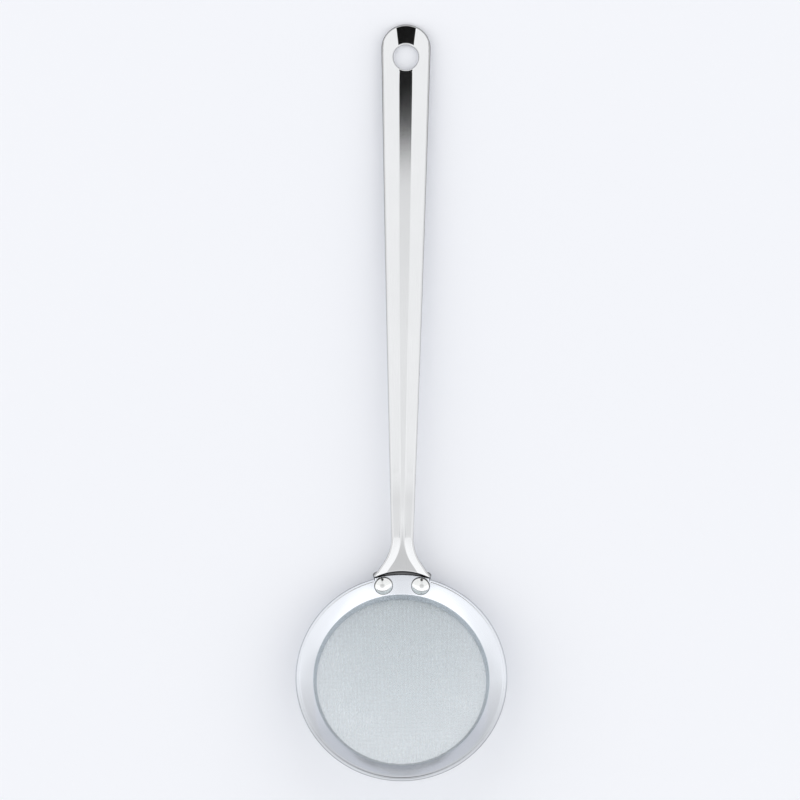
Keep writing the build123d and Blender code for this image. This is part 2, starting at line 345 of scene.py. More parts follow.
def revolved(name, outlines, angles, matrix):
    """Closed ring: one outline for each angle, measured from the handle about the dish's axis."""
    verts = []
    for outline, angle in zip(outlines, angles):
        verts += [(r * -sin(angle), r * cos(angle), z) for r, z in outline]
    size = len(outlines[0])
    faces = []
    for i in range(len(angles)):
        here, there = i * size, (i + 1) % len(angles) * size
        faces += [(here + j, here + (j + 1) % size, there + (j + 1) % size, there + j) for j in range(size)]
    return mesh_object(name, verts, faces, matrix)


def spread(first, last, count):
    """Evenly spaced values, both ends included."""
    return [first + (last - first) * i / (count - 1) for i in range(count)]


def eased(share):
    """Share held between 0 and 1, with a soft start and a soft end."""
    kept = max(0, min(1, share))
    return kept * kept * (3 - 2 * kept)


def mark_painted_shade(piece, rule):
    """Stores how much painted shade darkens a piece at each point, which its finish reads as a point
    attribute.
    """
    shade = piece.data.attributes.new("painted_shade", "FLOAT", "POINT")
    for value, vertex in zip(shade.data, piece.data.vertices):
        value.value = rule(vertex.co / MM, vertex.normal)


# Rim
def rim_outline(curl):
    """Section of the rim; curl is 1 where its edge is rolled and 0 where it lies open on the tab."""
    fold = -(FLANGE_ANGLE + pi / 2) * curl + FLANGE_ANGLE
    length = LIP_TANGENT + LIP_SKIRT
    corner_r = RIM_RADIUS * curl + (SEAT_EDGE - length * cos(FLANGE_ANGLE)) * (1 - curl)
    corner = (corner_r, flange_z(corner_r))
    lip = (corner[0] + length * cos(fold), corner[1] + length * sin(fold))
    line = [(FOOT_OUTER, FOOT_Z), (FOOT_RADIUS, FOOT_Z), (BREAK_RADIUS, BREAK_Z), corner, lip]
    bends = [FOOT_BEND + RIM_SHEET, RIM_BEND + RIM_SHEET, LIP_RADIUS]
    return sheet_outline(line, RIM_SHEET, bends, RIM_EDGE_ROUND)


def rim_painted_shade(place, normal):
    """Painted shade on the rim at a place: on its rolled edge, its wall and its foot and, faintly, over its
    far side.
    """
    spot = DISH.inverted() @ place
    reach = hypot(spot.x, spot.y)
    # Painted dark line on the steep faces of the rolled edge
    steep = max(1 - abs(normal.z) / EDGE_SHADE_LEAN, 0)
    edge = steep * EDGE_SHADE if reach > RIM_RADIUS - LIP_RADIUS else 0
    # Painted shade on the wall, darker at its foot
    wall = WALL_SHADE if reach < BREAK_RADIUS else 0
    foot = FOOT_SHADE if reach < FOOT_RADIUS + RIM_SHEET / 2 else 0
    # Painted shade over the far side of the dish, added to the rest
    far = FAR_SHADE * min(max(-spot.y / reach, 0) / FAR_RISE, 1)
    return min(max(edge, wall, foot) + far, 1)


def make_rim():
    """Rim frame: foot, steep wall, sloping flange and rolled edge, open over the tab."""
    start, end = SEAT_HALF_ANGLE, SEAT_HALF_ANGLE + UNROLL_ANGLE
    angles = spread(-start, start, SEAT_STEPS)[:-1] + spread(start, end, UNROLL_STEPS)[:-1]
    angles += spread(end, 2 * pi - end, RIM_STEPS)[:-1]
    angles += spread(2 * pi - end, 2 * pi - start, UNROLL_STEPS)[:-1]
    outlines = []
    for angle in angles:
        away = (min(abs(angle), 2 * pi - abs(angle)) - start) / UNROLL_ANGLE
        outlines.append(rim_outline(eased(away)))
    rim = revolved("rim", outlines, angles, DISH)
    mark_painted_shade(rim, rim_painted_shade)
    return rim


def make_ring():
    """Retaining ring, folded round the foot and the edge of the gauze."""
    top = RING_SHEET + GAUZE_THICKNESS + RIM_SHEET + RING_SHEET
    line = [(FOOT_OUTER - RING_UPPER_REACH, top), (RING_OUTER, top), (RING_OUTER, 0)]
    line.append((FOOT_OUTER - RING_LOWER_REACH, 0))
    outline = sheet_outline(line, RING_SHEET, [RING_ROUND, RING_ROUND], RING_EDGE_ROUND)
    angles = spread(0, 2 * pi, RIM_STEPS + 1)[:-1]
    return revolved("ring", [outline] * len(angles), angles, DISH)


# Handle
def side_line(run):
    """Place and lean of the side line at a run from the step: y, z and its angle."""
    lean = ARCH_ANGLE - run / ARCH_RADIUS if run < ARCH_RUN else ARCH_END
    past = max(run - ARCH_RUN, 0)
    y = ARCH_Y - ARCH_RADIUS * sin(lean) + past * cos(lean)
    z = ARCH_Z + ARCH_RADIUS * cos(lean) + past * sin(lean)
    return y, z, lean


def flare(run):
    """How far each side of the bracket has swung out, at a run measured back from the waist."""
    turned = FLARE_RADIUS * sin(FLARE_ANGLE)
    if run < turned:
        return FLARE_RADIUS - sqrt(FLARE_RADIUS**2 - run**2)
    return FLARE_RADIUS * (1 - cos(FLARE_ANGLE)) + (run - turned) * tan(FLARE_ANGLE)


def trough_shape(run):
    """Half width, floor's half width and flank angle at a run."""
    along = (run - BRACKET_LENGTH) / (WHOLE_RUN - END_RADIUS - BRACKET_LENGTH)
    if along < 0:
        out = flare(BRACKET_LENGTH - run)
        share = min(1 - run / BRACKET_LENGTH, 1)
        return WAIST_HALF + out, WAIST_FLOOR_HALF + out, WAIST_FLANK + (BRACKET_FLANK - WAIST_FLANK) * share
    bow = SIDE_BOW * 4 * along * (1 - along)
    half = WAIST_HALF + (END_RADIUS - WAIST_HALF) * along + bow
    inner = WAIST_FLOOR_HALF + (FLOOR_HALF - WAIST_FLOOR_HALF) * along + bow
    inner += (END_FLOOR_HALF - FLOOR_HALF) * max(run - WHOLE_RUN + END_SPREAD, 0) / END_SPREAD
    return half, inner, WAIST_FLANK + (END_FLANK - WAIST_FLANK) * along


def bend_span(run):
    """Where the bend between floor and flank starts and ends on the sheet's middle."""
    inner, flank = trough_shape(run)[1:]
    start = max(inner - HANDLE_BEND * tan(flank / 2), LEAST_FLOOR_HALF)
    return start, start + (HANDLE_BEND + SHEET / 2) * sin(flank)


def middle_of_sheet(x, run):
    """Height of the sheet's middle over the side line, and its slope's angle."""
    flank = trough_shape(run)[2]
    start, end = bend_span(run)
    radius = HANDLE_BEND + SHEET / 2
    if x <= start:
        return SHEET / 2, 0
    if x < end:
        angle = asin((x - start) / radius)
        return SHEET / 2 + radius * (1 - cos(angle)), angle
    return SHEET / 2 + radius * (1 - cos(flank)) + (x - end) * tan(flank), flank


def trough_at(x, y):
    """Top and bottom of the trough's sheet at a place seen from above."""
    run = y - STEP_Y
    for _ in range(TROUGH_TRIES):
        height, angle = middle_of_sheet(abs(x), run)
        line_y, line_z, lean = side_line(run)
        run += (y - line_y + sin(lean) * height) / cos(lean)
    height, angle = middle_of_sheet(abs(x), run)
    line_y, line_z, lean = side_line(run)
    side = -1 if x < 0 else 1
    pair = []
    for half in (SHEET / 2, -SHEET / 2):
        up = height + half * cos(angle)
        across = x - side * half * sin(angle)
        pair.append(Vector((across, line_y - sin(lean) * up, line_z + cos(lean) * up)))
    return pair


def trough_half(y):
    """Half width of the sheet's middle at a place along the handle."""
    return trough_shape(y - STEP_Y)[0] - SHEET / 2


def arc_y(x, radius):
    """Place along the handle of an arc about the groove's centre."""
    return GROOVE_Y + sqrt(radius**2 - x**2)


def tab_z(x, y, depth):
    """Height of the tab's cone at a place seen from above, at a depth under the flange's face."""
    z = STEP_Z
    for _ in range(TAB_TRIES):
        across = (y - DISH_Y) * cos(TILT) - (z - DISH_Z) * sin(TILT)
        up = flange_z(hypot(x, across)) - depth / cos(FLANGE_ANGLE)
        z += ((up - (y - DISH_Y) * sin(TILT)) / cos(TILT) + DISH_Z - z) * TAB_SETTLE
    return z


def tab_pair(x, y_top, y_bottom):
    """Top and bottom of the tab at two places along the handle."""
    depth = RIM_SHEET + CONTACT_GAP
    top = Vector((x, y_top, tab_z(x, y_top, depth)))
    return [top, Vector((x, y_bottom, tab_z(x, y_bottom, depth + SHEET)))]


def column_places(run, half):
    """Places of the columns from the middle to the edge, close together in the bend."""
    start, end = bend_span(run)
    places = spread(0, start, FLOOR_COLUMNS + 1) + spread(start, end, BEND_COLUMNS + 1)[1:]
    return places + spread(end, half, FLANK_COLUMNS + 1)[1:]


def mirrored(places):
    """Places on both sides, from left to right."""
    return [-x for x in places[:0:-1]] + places


def bracket_edge():
    """Half width of the sheet's middle where the bracket's sides meet its lower edge."""
    edge = WAIST_HALF
    for _ in range(EDGE_TRIES):
        edge = trough_half(arc_y(edge, GROOVE_RADIUS))
    return edge


def tab_rows(columns, edge):
    """Rows of sheet pairs of the tab, from its inner edge to the foot of the step."""
    inner = BREAK_RADIUS + TAB_INSET + SHEET / 2
    inner_half = inner * sin(TAB_HALF_ANGLE) - SHEET / 2
    foot = GROOVE_RADIUS - STEP_FOOT
    rows = []
    for share in spread(1, 0, TAB_STEPS)[:-1]:
        row = []
        for x in columns:
            there = x * (1 + (inner_half / edge - 1) * share)
            across = sqrt(inner**2 - there**2)
            end_y = DISH_Y + across * cos(TILT) + (flange_z(inner) - RIM_SHEET) * sin(TILT)
            top = arc_y(there, foot) * (1 - share) + end_y * share
            bottom = arc_y(there, foot + STEP_WALL) * (1 - share) + end_y * share
            row.append(tab_pair(there, top, bottom))
        rows.append(row)
    return rows


def step_pair(x, out, upper, drop):
    """Top and bottom of the sheet on the step, as a mark of STEP_MARKS says."""
    inward = min(out, 0)
    far = GROOVE_RADIUS + STEP_WALL
    tab_top, tab_low = tab_pair(x, arc_y(x, GROOVE_RADIUS + inward), arc_y(x, far + inward))
    top = trough_at(x, arc_y(x, GROOVE_RADIUS + STEP_ROUND))[0]
    low = trough_at(x, arc_y(x, far + STEP_ROUND))[1]
    pair = []
    for start, finish, radius in ((tab_top, top, GROOVE_RADIUS), (tab_low, low, far)):
        z = finish.z + drop * STEP_ROUND if upper else start.z + drop
        pair.append(Vector((finish.x if upper else start.x, arc_y(x, radius + out), z)))
    return pair


def flare_rows(edge):
    """Rows of sheet pairs from the top of the step, up the flare, to the waist."""
    waist_y = side_line(BRACKET_LENGTH)[0]
    rows = []
    for share in spread(0, 1, FLARE_STEPS)[1:]:
        y_mid = STEP_Y + STEP_ROUND + (waist_y - STEP_Y) * share
        bend = 1 - share
        half = edge
        for _ in range(FLARE_TRIES):
            half = trough_half(y_mid - bend * (GROOVE_RADIUS - sqrt(GROOVE_RADIUS**2 - half**2)))
        row = []
        for x in mirrored(column_places(y_mid - STEP_Y, half)):
            drop = bend * (GROOVE_RADIUS - sqrt(GROOVE_RADIUS**2 - x**2))
            row.append(trough_at(x, y_mid - drop))
        rows.append(row)
    return rows


def bracket_rows():
    """Rows of sheet pairs from the tab's inner edge, up the step, to the waist."""
    edge = bracket_edge()
    columns = mirrored(column_places(0, edge))
    step = [[step_pair(x, *mark) for x in columns] for mark in STEP_MARKS]
    return tab_rows(columns, edge) + step + flare_rows(edge)


def end_outline(share):
    """Point of the right side's outline, from beside the hole's lower edge round to the tip."""
    low_y = HOLE_Y - HOLE_COLLAR
    radius = END_RADIUS - SHEET / 2
    straight = ROUND_Y - low_y
    length = (straight + radius * pi / 2) * share
    if length < straight:
        y = low_y + length
        return trough_half(y), y
    angle = (length - straight) / radius
    return radius * cos(angle), ROUND_Y + radius * sin(angle)


def blade_rows():
    """Rows of sheet pairs from the waist to the collar round the hole."""
    rows = []
    waist_y = side_line(BRACKET_LENGTH)[0] + STEP_ROUND
    low_y = HOLE_Y - HOLE_COLLAR
    even_from = low_y - EVEN_RUN
    for y in spread(waist_y, even_from, BLADE_STEPS) + spread(even_from, low_y, EVEN_STEPS)[1:]:
        half = trough_half(y)
        places = column_places(y - STEP_Y, half)
        even = spread(0, half, len(places))
        mix = max(0, (y - even_from) / (low_y - even_from))
        mixed = [a + (b - a) * mix for a, b in zip(places, even)]
        rows.append([trough_at(x, y) for x in mirrored(mixed)])
    return rows


def collar_rows(side):
    """Rows of sheet pairs from the collar round the hole to the outline, on one side."""
    count = FLOOR_COLUMNS + BEND_COLUMNS + FLANK_COLUMNS
    rows = []
    for share in spread(0, 1, COLLAR_ROWS + 1):
        angle = pi * share
        near = Vector((HOLE_COLLAR * sin(angle), HOLE_Y - HOLE_COLLAR * cos(angle)))
        far = Vector(end_outline(share))
        points = [near.lerp(far, i / count) for i in range(count + 1)]
        rows.append([trough_at(side * p.x, p.y) for p in points])
    return rows


def hole_rows():
    """Closed rings of sheet pairs from the hole's edge to its collar."""
    rows = []
    for radius in spread(HOLE_EDGE, HOLE_COLLAR, COLLAR_RINGS):
        angles = [pi * i / COLLAR_ROWS for i in range(2 * COLLAR_ROWS + 1)]
        rows.append([trough_at(radius * sin(a), HOLE_Y - radius * cos(a)) for a in angles])
    return rows


def lay_patch(verts, faces, rows):
    """Adds the top and the bottom of a patch of sheet pairs."""
    for level in (0, 1):
        base = len(verts)
        width = len(rows[0])
        verts += [pair[level] for row in rows for pair in row]
        for i in range(len(rows) - 1):
            for j in range(width - 1):
                a = base + i * width + j
                quad = (a, a + 1, a + width + 1, a + width)
                faces.append(quad if level == 0 else quad[::-1])


def lay_edge(verts, faces, edge, inner, steps=EDGE_STEPS):
    """Adds the rounded edge of the sheet along a line of pairs; inner is the next line inside."""
    base = len(verts)
    for i, (top, bottom) in enumerate(edge):
        middle = (top + bottom) / 2
        ahead = edge[min(i + 1, len(edge) - 1)]
        behind = edge[max(i - 1, 0)]
        along = (ahead[0] + ahead[1] - behind[0] - behind[1]).normalized()
        up = (top - bottom) / 2
        out = along.cross(up).normalized() * up.length
        if out.dot(middle - (inner[i][0] + inner[i][1]) / 2) < 0:
            out = -out
        for j in range(steps + 1):
            turn = pi * j / steps
            verts.append(middle + up * cos(turn) + out * sin(turn))
    for i in range(len(edge) - 1):
        for j in range(steps):
            a = base + i * (steps + 1) + j
            faces.append((a, a + 1, a + steps + 2, a + steps + 1))


def past_edge(place):
    """How far a place lies outside the handle's outline on the sheet's middle."""
    if place.y > ROUND_Y:
        return hypot(place.x, place.y - ROUND_Y) - END_RADIUS + SHEET / 2
    return abs(place.x) - trough_half(place.y)


def handle_painted_shade(place, normal):
    """Painted shade on the handle at a place: in the groove, round the hole, along its cut edges and on the
    bracket's flanks.
    """
    depth = GROOVE_RADIUS - hypot(place.x, place.y - GROOVE_Y)
    # Painted shadow in the groove, black at its top and fading with depth
    if depth > -GROOVE_LIP:
        fade = max(depth - GROOVE_BLACK_DEPTH, 0) / GROOVE_SHADE_DEPTH
        return max(1 - fade, 0) if normal.z > GROOVE_FACING else 0
    # Painted dark line round the hole's edge
    from_hole = hypot(place.x, place.y - HOLE_Y) - HOLE_RADIUS
    hole = HOLE_SHADE * (1 - from_hole / (SHEET / 2))
    # Painted dark line along the cut edges, darker towards the handle's end
    along = max(place.y - STEP_Y, 0) / HANDLE_LENGTH
    cut = CUT_SHADE_BRACKET + (CUT_SHADE_END - CUT_SHADE_BRACKET) * along**2
    edge = cut * past_edge(place) / (SHEET / 2)
    # Painted shade on the bracket's flanks, by the way they face, fading out by the end of the arch
    flank = BRACKET_SHADE * min(abs(normal.x) / BRACKET_FACING, 1)
    near = min((ARCH_RUN - place.y + STEP_Y) / BRACKET_FADE, 1)
    return min(max(hole, edge, flank * near, 0), 1)


def make_handle():
    """Handle: tab, step, flared bracket, waist and trough with its hole and round end."""
    verts, faces = [], []
    rows = bracket_rows() + blade_rows()[1:]
    right, left, hole = collar_rows(1), collar_rows(-1), hole_rows()
    for patch in (rows, right, left, hole):
        lay_patch(verts, faces, patch)
    lay_edge(verts, faces, rows[0], rows[1])
    lay_edge(verts, faces, hole[0], hole[1])
    lay_edge(verts, faces, [row[0] for row in rows], [row[1] for row in rows])
    lay_edge(verts, faces, [row[-1] for row in rows], [row[-2] for row in rows])
    for patch in (right, left):
        lay_edge(verts, faces, [row[-1] for row in patch], [row[-2] for row in patch])
    handle = mesh_object("handle_sheet", verts, faces)
    mark_painted_shade(handle, handle_painted_shade)
    return handle


# Rivets
def rivet_outline():
    """Half section of a rivet about its own axis, from its tail to the top of its dome."""
    lift = RIVET_HEAD_RADIUS**2 * sin(FLANGE_ANGLE) / (2 * RIVET_REACH) + CONTACT_GAP
    rise = RIVET_HEAD_HEIGHT - RIVET_HEAD_EDGE
    dome = (RIVET_HEAD_RADIUS**2 + rise**2) / (2 * rise)
    tail = -(RIM_SHEET + CONTACT_GAP + SHEET)
    low = [(0, tail - RIVET_TAIL_HEIGHT), (RIVET_TAIL_RADIUS, tail - RIVET_TAIL_HEIGHT)]
    low += [(RIVET_TAIL_RADIUS, tail), (RIVET_SHANK_RADIUS, tail), (RIVET_SHANK_RADIUS, lift)]
    low += [(RIVET_HEAD_RADIUS, lift), (RIVET_HEAD_RADIUS, lift + RIVET_HEAD_EDGE)]
    points = rounded(low, [0, RIVET_TAIL_ROUND, 0, 0, 0, RIVET_RIM_ROUND, 0], RIVET_BEND_STEPS)
    limit = asin(RIVET_HEAD_RADIUS / dome)
    for angle in spread(limit, 0, RIVET_DOME_STEPS)[1:]:
        points.append((dome * sin(angle), lift + RIVET_HEAD_HEIGHT - dome * (1 - cos(angle))))
    return points


def rivet_painted_shadow(place, _):
    """Painted contact shadow on a rivet at a place: round the edge of its head, where it meets the flange."""
    near_edge = hypot(place.x, place.y) > RIVET_HEAD_RADIUS - RIVET_PAINTED_SHADOW_WIDTH
    return RIVET_PAINTED_SHADOW if place.z > 0 and near_edge else 0


def lathed(name, outline, sides=RIVET_SIDES):
    """Closed turned shape about the Z axis."""
    angles = [2 * pi * i / sides for i in range(sides)]
    verts = [(r * cos(angle), r * sin(angle), z) for angle in angles for r, z in outline]
    size = len(outline)
    faces = []
    for i in range(sides):
        here, there = i * size, (i + 1) % sides * size
        faces += [(here + j, here + j + 1, there + j + 1, there + j) for j in range(size - 1)]
    return mesh_object(name, verts, faces)


def rivet_seats():
    """Places of the rivets on the flange and the directions of their axes, left and right."""
    seats = []
    for side in (-1, 1):
        swing = side * asin(RIVET_PITCH / 2 / RIVET_REACH)
        out = Vector((sin(swing), cos(swing), 0))
        place = out * RIVET_REACH + Vector((0, 0, flange_z(RIVET_REACH)))
        axis = Vector((0, 0, cos(FLANGE_ANGLE))) - out * sin(FLANGE_ANGLE)
        seats.append((DISH @ place, DISH.to_3x3() @ axis))
    return seats


# Node trees
def new_tree(name):
    """Empty geometry tree with a geometry input and output."""
    tree = bpy.data.node_groups.new(name, "GeometryNodeTree")
    tree.interface.new_socket("Geometry", in_out="INPUT", socket_type="NodeSocketGeometry")
    tree.interface.new_socket("Geometry", in_out="OUTPUT", socket_type="NodeSocketGeometry")
    return tree


def add_node(tree, kind, links=None, **values):
    """New node with its settings, its inputs' values and the sockets linked into it."""
    node = tree.nodes.new(kind)
    for key, value in values.items():
        setattr(node, key, value)
    for key, source in (links or {}).items():
        if isinstance(source, bpy.types.NodeSocket):
            tree.links.new(source, node.inputs[key])
        else:
            node.inputs[key].default_value = source
    return node


def math_node(tree, operation, *sources):
    """Result of a sum of one or two values."""
    return add_node(tree, "ShaderNodeMath", dict(enumerate(sources)), operation=operation).outputs[0]


def run_tree(name, start, tree, values):
    """Runs a tree on a starting mesh and returns its result as a plain mesh."""
    modifier = start.modifiers.new(name, "NODES")
    modifier.node_group = tree
    for item in tree.interface.items_tree:
        if item.in_out == "INPUT" and item.name in values:
            modifier[item.identifier] = values[item.name]
    bpy.context.view_layer.update()
    ready = start.evaluated_get(bpy.context.evaluated_depsgraph_get())
    mesh = bpy.data.meshes.new_from_object(ready)
    start.modifiers.remove(modifier)
    bpy.data.objects.remove(start)
    piece = bpy.data.objects.new(name, mesh)
    bpy.context.scene.collection.objects.link(piece)
    return piece


def rivet_tree(rivet):
    """Tree that sets one rivet on each seat, along the seat's own axis."""
    tree = new_tree("Rivets")
    tree.interface.new_socket("Material", in_out="INPUT", socket_type="NodeSocketMaterial")
    entry = add_node(tree, "NodeGroupInput")
    blank = add_node(tree, "GeometryNodeObjectInfo", {"Object": rivet})
    axis = add_node(tree, "GeometryNodeInputNamedAttribute", {"Name": "axis"}, data_type="FLOAT_VECTOR")
    aim = {"Vector": axis.outputs["Attribute"]}
    turn = add_node(tree, "FunctionNodeAlignRotationToVector", aim, axis="Z")
    rivets = add_node(tree, "GeometryNodeInstanceOnPoints", {
        "Points": entry.outputs["Geometry"],
        "Instance": blank.outputs["Geometry"],
        "Rotation": turn.outputs[0],
    })
    real = add_node(tree, "GeometryNodeRealizeInstances", {"Geometry": rivets.outputs[0]})
    finish = {"Geometry": real.outputs[0], "Material": entry.outputs["Material"]}
    coloured = add_node(tree, "GeometryNodeSetMaterial", finish)
    add_node(tree, "NodeGroupOutput", {"Geometry": coloured.outputs[0]})
    return tree


def make_rivets(material):
    """Both rivets, set by a tree on their seats."""
    blank = lathed("rivet_blank", rivet_outline())
    mark_painted_shade(blank, rivet_painted_shadow)
    seats = rivet_seats()
    points = bpy.data.meshes.new("rivet_seats")
    points.from_pydata([place * MM for place, _ in seats], [], [])
    axes = points.attributes.new("axis", "FLOAT_VECTOR", "POINT")
    for value, (_, axis) in zip(axes.data, seats):
        value.vector = axis
    start = bpy.data.objects.new("rivet_seats", points)
    bpy.context.scene.collection.objects.link(start)
    piece = run_tree("rivets", start, rivet_tree(blank), {"Material": material})
    bpy.data.objects.remove(blank)
    return piece


# Woven gauze
def wire_rows(tree, entry, size):
    """Rows of points that all run one way, cut to a disc."""
    wires = entry.outputs["Wires"]
    sides = {"Size X": size, "Size Y": size, "Vertices X": wires, "Vertices Y": wires}
    grid = add_node(tree, "GeometryNodeMeshGrid", sides)
    ends = add_node(tree, "GeometryNodeInputMeshEdgeVertices")
    pair = {0: ends.outputs["Position 1"], 1: ends.outputs["Position 2"]}
    step = add_node(tree, "ShaderNodeVectorMath", pair, operation="SUBTRACT")
    parts = add_node(tree, "ShaderNodeSeparateXYZ", {0: step.outputs[0]})
    length = math_node(tree, "ABSOLUTE", parts.outputs["X"])
    across = math_node(tree, "GREATER_THAN", length, math_node(tree, "MULTIPLY", entry.outputs["Pitch"], 0.5))
    cut = {"Geometry": grid.outputs["Mesh"], "Selection": across}
    lines = add_node(tree, "GeometryNodeDeleteGeometry", cut, domain="EDGE", mode="EDGE_FACE")
    place = add_node(tree, "GeometryNodeInputPosition")
    far = add_node(tree, "ShaderNodeVectorMath", {0: place.outputs[0]}, operation="LENGTH")
    outside = math_node(tree, "GREATER_THAN", far.outputs["Value"], entry.outputs["Radius"])
    trim = {"Geometry": lines.outputs[0], "Selection": outside}
    return add_node(tree, "GeometryNodeDeleteGeometry", trim, domain="POINT").outputs[0]


def wire_height(tree, entry, size):
    """Height of a wire as it passes over and under the others."""
    place = add_node(tree, "GeometryNodeInputPosition")
    at = add_node(tree, "ShaderNodeSeparateXYZ", {0: place.outputs[0]})
    half = math_node(tree, "MULTIPLY", size, 0.5)
    waves = []
    for name in ("X", "Y"):
        shift = math_node(tree, "ADD", at.outputs[name], half)
        crossings = math_node(tree, "DIVIDE", shift, entry.outputs["Pitch"])
        waves.append(math_node(tree, "COSINE", math_node(tree, "MULTIPLY", crossings, pi)))
    both = math_node(tree, "MULTIPLY", waves[0], waves[1])
    signed = math_node(tree, "MULTIPLY", both, entry.outputs["Sign"])
    return math_node(tree, "MULTIPLY", signed, entry.outputs["Wire Radius"])


def weave_tree():
    """Tree that weaves one set of wires: rows of points, cut to a disc, bent over and under."""
    tree = new_tree("Woven gauze")
    for name in ("Radius", "Pitch", "Wire Radius", "Sign"):
        tree.interface.new_socket(name, in_out="INPUT", socket_type="NodeSocketFloat")
    tree.interface.new_socket("Wires", in_out="INPUT", socket_type="NodeSocketInt")
    tree.interface.new_socket("Material", in_out="INPUT", socket_type="NodeSocketMaterial")
    entry = add_node(tree, "NodeGroupInput")
    gaps = math_node(tree, "SUBTRACT", entry.outputs["Wires"], 1.0)
    size = math_node(tree, "MULTIPLY", gaps, entry.outputs["Pitch"])
    rows = wire_rows(tree, entry, size)
    lift = add_node(tree, "ShaderNodeCombineXYZ", {"Z": wire_height(tree, entry, size)})
    woven = add_node(tree, "GeometryNodeSetPosition", {"Geometry": rows, "Offset": lift.outputs[0]})
    curve = add_node(tree, "GeometryNodeMeshToCurve", {"Mesh": woven.outputs[0]})
    outline = {"Resolution": WIRE_SIDES, "Radius": entry.outputs["Wire Radius"]}
    ring = add_node(tree, "GeometryNodeCurvePrimitiveCircle", outline)
    path = {"Curve": curve.outputs[0], "Profile Curve": ring.outputs[0], "Fill Caps": True}
    wire = add_node(tree, "GeometryNodeCurveToMesh", path)
    smooth = add_node(tree, "GeometryNodeSetShadeSmooth", {"Geometry": wire.outputs[0]})
    real = add_node(tree, "GeometryNodeRealizeInstances", {"Geometry": smooth.outputs[0]})
    finish = {"Geometry": real.outputs[0], "Material": entry.outputs["Material"]}
    coloured = add_node(tree, "GeometryNodeSetMaterial", finish)
    add_node(tree, "NodeGroupOutput", {"Geometry": coloured.outputs[0]})
    return tree


def make_gauze(material):
    """Warp and weft of the gauze, laid in the dish between its foot and the ring."""
    tree = weave_tree()
    radius = FOOT_OUTER - GAUZE_INSET
    values = {
        "Radius": radius * MM,
        "Pitch": WIRE_PITCH * MM,
        "Wire Radius": WIRE_RADIUS * MM,
        "Wires": int(radius / WIRE_PITCH) * 2 + 1,
        "Material": material,
    }
    place = DISH @ Matrix.Translation((0, 0, RING_SHEET + GAUZE_THICKNESS / 2))
    laid = Matrix.Translation(place.translation * MM) @ place.to_3x3().to_4x4()
    pieces = []
    for name, turn, sign in (("gauze_warp", 0, 1.0), ("gauze_weft", pi / 2, -1.0)):
        start = bpy.data.objects.new(name + "_start", bpy.data.meshes.new(name + "_start"))
        bpy.context.scene.collection.objects.link(start)
        piece = run_tree(name, start, tree, {**values, "Sign": sign})
        piece.data.transform(laid @ Matrix.Rotation(turn, 4, "Z"))
        pieces.append(piece)
    return pieces


# Finishes
def brush_lines(tree, place, lines, grain):
    """Place for the brush pattern, squeezed across its lines, which go round the dish or along the piece."""
    if lines == "along":
        squeezed = {"Vector": place, "Scale": (grain, grain / BRUSH_LENGTH, grain)}
        return add_node(tree, "ShaderNodeMapping", squeezed).outputs[0]
    shift = {"Vector": place, "Location": (0, -DISH_Y * MM, -DISH_Z * MM)}
    middle = add_node(tree, "ShaderNodeMapping", shift)
    level = add_node(tree, "ShaderNodeMapping", {"Vector": middle.outputs[0], "Rotation": (TILT, 0, 0)})
    parts = add_node(tree, "ShaderNodeSeparateXYZ", {0: level.outputs[0]})
    flat = add_node(tree, "ShaderNodeCombineXYZ", {"X": parts.outputs["X"], "Y": parts.outputs["Y"]})
    reach = add_node(tree, "ShaderNodeVectorMath", {0: flat.outputs[0]}, operation="LENGTH")
    way = add_node(tree, "ShaderNodeVectorMath", {0: flat.outputs[0]}, operation="NORMALIZE")
    spin = add_node(tree, "ShaderNodeSeparateXYZ", {0: way.outputs[0]})
    out = math_node(tree, "ADD", reach.outputs["Value"], parts.outputs["Z"])
    fine = math_node(tree, "MULTIPLY", out, grain)
    ring = {"X": spin.outputs["X"], "Y": spin.outputs["Y"], "Z": fine}
    return add_node(tree, "ShaderNodeCombineXYZ", ring).outputs[0]


def vary_gloss(tree, shader, sheen, rough):
    """Lets the sheen vary the roughness a little."""
    gloss = add_node(tree, "ShaderNodeMapRange", {
        "Value": sheen,
        "From Min": SHEEN_LOW,
        "From Max": SHEEN_HIGH,
        "To Min": rough * ROUGH_LEAST,
        "To Max": rough * ROUGH_MOST,
    })
    tree.links.new(gloss.outputs[0], shader.inputs["Roughness"])


def vary_colour(tree, shader, sheen, colour):
    """Lets the sheen vary the colour a little, and darkens it by the painted shade stored in the piece's
    point attribute.
    """
    tint = add_node(tree, "ShaderNodeValToRGB", {"Fac": sheen})
    low, high = tint.color_ramp.elements
    low.position = SHEEN_LOW
    high.position = SHEEN_HIGH
    low.color = [c * TINT_LEAST for c in colour] + [1]
    high.color = [min(c * TINT_MOST, 1) for c in colour] + [1]
    # Painted shade: the stored point attribute mixes the colour towards near black
    painted_shade = add_node(tree, "ShaderNodeAttribute", attribute_name="painted_shade")
    parts = {"Factor": painted_shade.outputs["Fac"], 6: tint.outputs[0]}
    shaded = add_node(tree, "ShaderNodeMix", parts, data_type="RGBA")
    shaded.inputs[7].default_value = (*PAINTED_SHADE_COLOUR, 1)
    tree.links.new(shaded.outputs[2], shader.inputs["Base Color"])


def raise_lines(tree, shader, brush, place, strength):
    """Raises the brush lines and fine scratches a little."""
    fine = {"Vector": place, "Scale": SCRATCH_SCALE, "Detail": SCRATCH_DETAIL}
    scratch = add_node(tree, "ShaderNodeTexNoise", fine)
    parts = {"Factor": SCRATCH_SHARE, "A": brush.outputs["Fac"], "B": scratch.outputs["Fac"]}
    relief = add_node(tree, "ShaderNodeMix", parts)
    depth = {"Strength": strength, "Distance": RELIEF_DEPTH, "Height": relief.outputs[0]}
    bump = add_node(tree, "ShaderNodeBump", depth)
    tree.links.new(bump.outputs[0], shader.inputs["Normal"])


